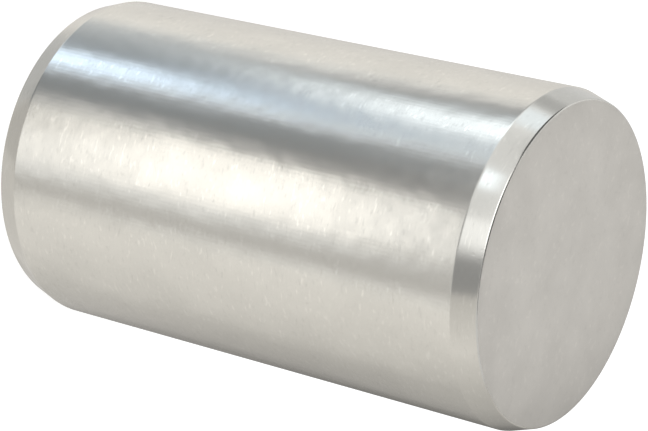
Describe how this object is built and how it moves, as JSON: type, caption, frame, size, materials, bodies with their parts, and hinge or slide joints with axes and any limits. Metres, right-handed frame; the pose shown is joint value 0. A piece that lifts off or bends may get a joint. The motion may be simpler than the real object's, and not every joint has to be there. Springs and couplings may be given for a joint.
{
  "type": "dowel pin",
  "caption": "Straight round dowel pin: a solid ground steel shank with a short lead chamfer at each flat end, for locating and joining drilled parts.",
  "frame": {"origin": "centre of the end face that the pin stands on", "axes": "+Z along the pin's axis, from the end face it stands on to the other; the pin is round, so X and Y are free"},
  "size_m": [0.0112, 0.0112, 0.0189],
  "materials": {
    "ground_steel": "centreless ground shank with a fine lay round the pin, smooth turned chamfers, matte flat end faces"
  },
  "bodies": {
    "root": {"dowel_pin": "ground_steel"}
  },
  "joints": []
}
